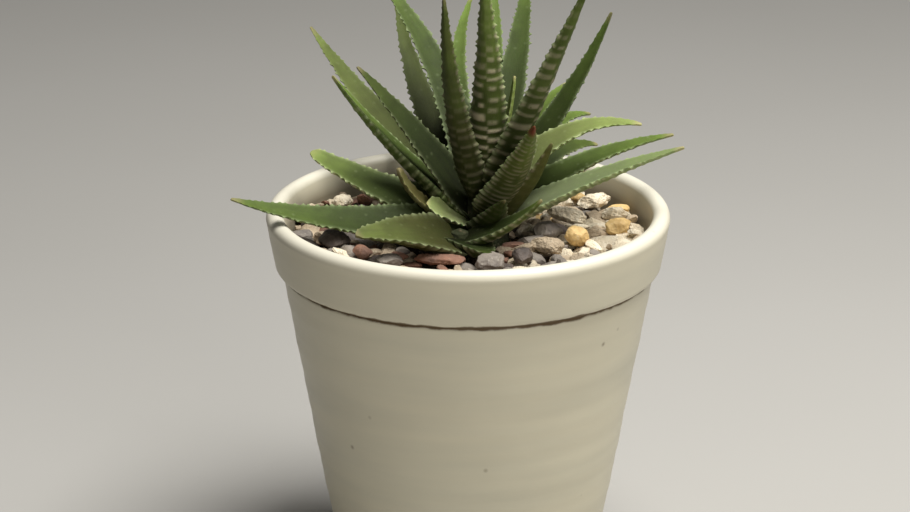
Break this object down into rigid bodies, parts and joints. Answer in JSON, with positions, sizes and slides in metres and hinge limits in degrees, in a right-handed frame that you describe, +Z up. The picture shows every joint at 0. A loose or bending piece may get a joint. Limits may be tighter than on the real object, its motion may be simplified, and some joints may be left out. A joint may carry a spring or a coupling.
{
  "type": "potted haworthia",
  "caption": "Small potted succulent: a rosette of thick pointed leaves with raised bands, in a round glazed pot with a collar and a gravel top dressing.",
  "frame": {"origin": "centre of the pot's flat base, on the surface it stands on", "axes": "+Z up along the pot's axis; -Y is the near side of the picture; +X is the picture's right"},
  "size_m": [0.1052, 0.1083, 0.158],
  "materials": {
    "leaf_green": "satin, slightly waxy leaf skin",
    "leaf_pale": "satin, paler yellow-green leaf skin",
    "leaf_dark": "satin, dark olive leaf skin with pale raised bands",
    "leaf_dry": "matt, dry papery leaf",
    "stem": "matt, fibrous stem and rootstock",
    "glaze": "warm off-white satin glaze",
    "soil": "matt, crumbly potting mix",
    "gravel": "matt, mixed tan and grey river gravel",
    "stone_ochre": "smooth ochre pebble",
    "stone_cream": "rough cream quartz",
    "stone_grey": "smooth grey pebble",
    "stone_tan": "smooth tan pebble",
    "stone_dark": "dark brown pebble",
    "stone_rust": "flat reddish-brown chip"
  },
  "bodies": {
    "root": {"leaf_heart": "leaf_pale", "leaf_mast_back": "leaf_green", "leaf_tall_left": "leaf_green", "leaf_tall_right": "leaf_green", "leaf_mast_front": "leaf_dark", "leaf_crown_right": "leaf_dark", "leaf_crown_left": "leaf_dark", "leaf_back_left": "leaf_green", "leaf_right_dark": "leaf_green", "leaf_right_behind": "leaf_green", "leaf_back_pale": "leaf_pale", "leaf_left_broad": "leaf_dark", "leaf_front_banded": "leaf_dark", "leaf_right_pale": "leaf_pale", "leaf_left_long": "leaf_pale", "leaf_left_short": "leaf_pale", "leaf_right_back": "leaf_green", "leaf_front_brown": "leaf_dark", "leaf_left_edge": "leaf_green", "leaf_right_tucked": "leaf_dark", "leaf_right_upper": "leaf_green", "leaf_dry_scrap": "leaf_dry", "leaf_left_low": "leaf_green", "leaf_right_lower": "leaf_green", "leaf_left_blunt": "leaf_dark", "leaf_front_short": "leaf_dark", "leaf_offset_right": "leaf_dark", "leaf_offset_broad": "leaf_pale", "leaf_offset_front": "leaf_dark", "leaf_far_01": "leaf_green", "leaf_far_02": "leaf_green", "leaf_far_03": "leaf_green", "leaf_far_04": "leaf_green", "leaf_far_05": "leaf_green", "leaf_far_06": "leaf_green", "leaf_far_07": "leaf_green", "stone_ochre": "stone_ochre", "stone_amber": "stone_ochre", "stone_cream_long": "stone_cream", "stone_cream_edge": "stone_cream", "stone_white_ridge": "stone_cream", "stone_grey_round": "stone_grey", "stone_tan": "stone_tan", "stone_dark": "stone_dark", "stone_slate": "stone_grey", "stone_rust_flat": "stone_rust", "stone_lilac": "stone_grey", "stone_russet": "stone_rust", "stone_charcoal": "stone_dark", "stone_white": "stone_cream", "gravel_bed": "gravel", "soil": "soil", "stem": "stem", "offset_stem": "stem", "pot": "glaze"}
  },
  "joints": []
}
